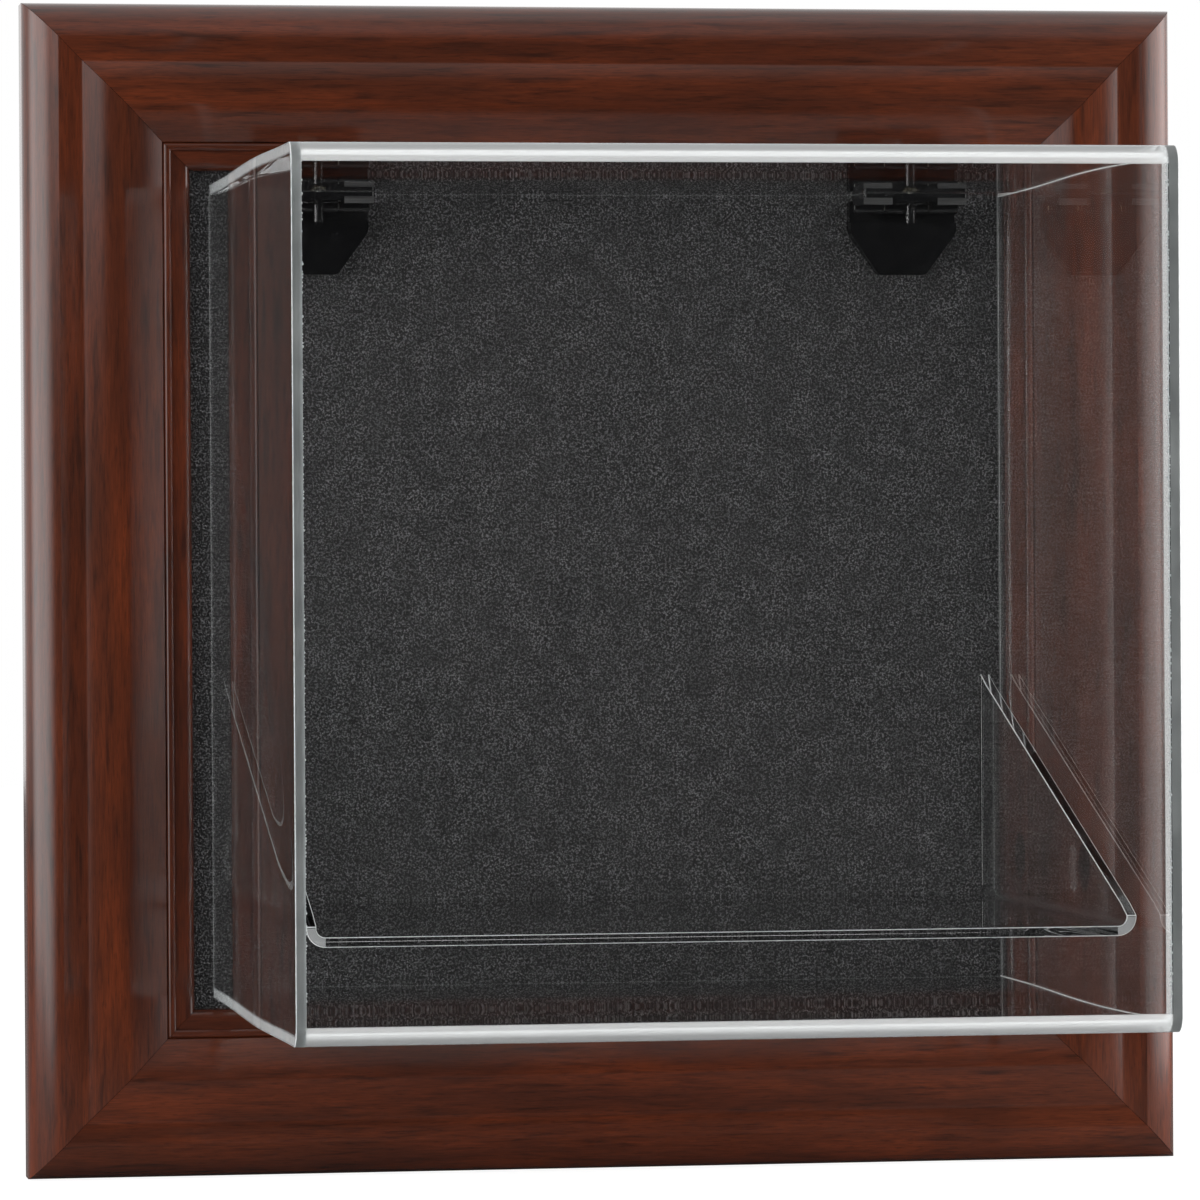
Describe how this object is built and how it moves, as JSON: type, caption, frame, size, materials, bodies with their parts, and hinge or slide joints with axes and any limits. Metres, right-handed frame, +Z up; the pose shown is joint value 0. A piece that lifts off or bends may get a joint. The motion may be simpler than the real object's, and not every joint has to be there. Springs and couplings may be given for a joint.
{
  "type": "wall display case",
  "caption": "Wall-hung display case: a mitred wood frame with a black textured back panel and a clear folded cover that swings up on hinges and carries a clear cradle.",
  "frame": {"origin": "middle of the rear face of the back panel, which lies flush with the frame against the wall", "axes": "+Y into the wall, +Z up, +X to the right as seen from the front"},
  "size_m": [0.4, 0.26, 0.4],
  "materials": {
    "stained_wood": "dark red-brown stain under satin lacquer",
    "black_board": "pebbled black laminate",
    "clear_acrylic": "clear polished sheet",
    "black_plastic": "glossy black moulding",
    "zinc_steel": "zinc plated"
  },
  "bodies": {
    "case_frame": {"rail_top": "stained_wood", "rail_right": "stained_wood", "rail_bottom": "stained_wood", "rail_left": "stained_wood", "back_panel": "black_board", "panel_screw_1": "zinc_steel", "panel_screw_2": "zinc_steel", "panel_screw_3": "zinc_steel", "panel_screw_4": "zinc_steel", "panel_screw_5": "zinc_steel", "panel_screw_6": "zinc_steel", "panel_screw_7": "zinc_steel", "panel_screw_8": "zinc_steel", "mitre_nail_1": "zinc_steel", "mitre_nail_2": "zinc_steel", "mitre_nail_3": "zinc_steel", "mitre_nail_4": "zinc_steel", "hanger_plate_left": "zinc_steel", "hanger_plate_right": "zinc_steel", "hanger_screw_left_1": "zinc_steel", "hanger_screw_left_2": "zinc_steel", "hanger_screw_right_1": "zinc_steel", "hanger_screw_right_2": "zinc_steel", "hinge_base_left": "black_plastic", "hinge_base_right": "black_plastic", "hinge_pin_left": "zinc_steel", "hinge_pin_right": "zinc_steel", "hinge_screw_left_1": "zinc_steel", "hinge_screw_left_2": "zinc_steel", "hinge_screw_right_1": "zinc_steel", "hinge_screw_right_2": "zinc_steel"},
    "cover": {"cover_wrap": "clear_acrylic", "cover_side_left": "clear_acrylic", "cover_side_right": "clear_acrylic", "hinge_leaf_left": "black_plastic", "hinge_leaf_right": "black_plastic", "leaf_screw_left": "zinc_steel", "leaf_screw_right": "zinc_steel", "cradle": "clear_acrylic", "cradle_pad_left_1": "clear_acrylic", "cradle_pad_left_2": "clear_acrylic", "cradle_pad_right_1": "clear_acrylic", "cradle_pad_right_2": "clear_acrylic"}
  },
  "joints": [
    {"name": "cover_swing", "type": "hinge", "parent": "case_frame", "child": "cover", "pos_m": [0.0025, -0.0205, 0.13055], "axis": [-1, 0, 0], "range_deg": [0, 70]}
  ]
}
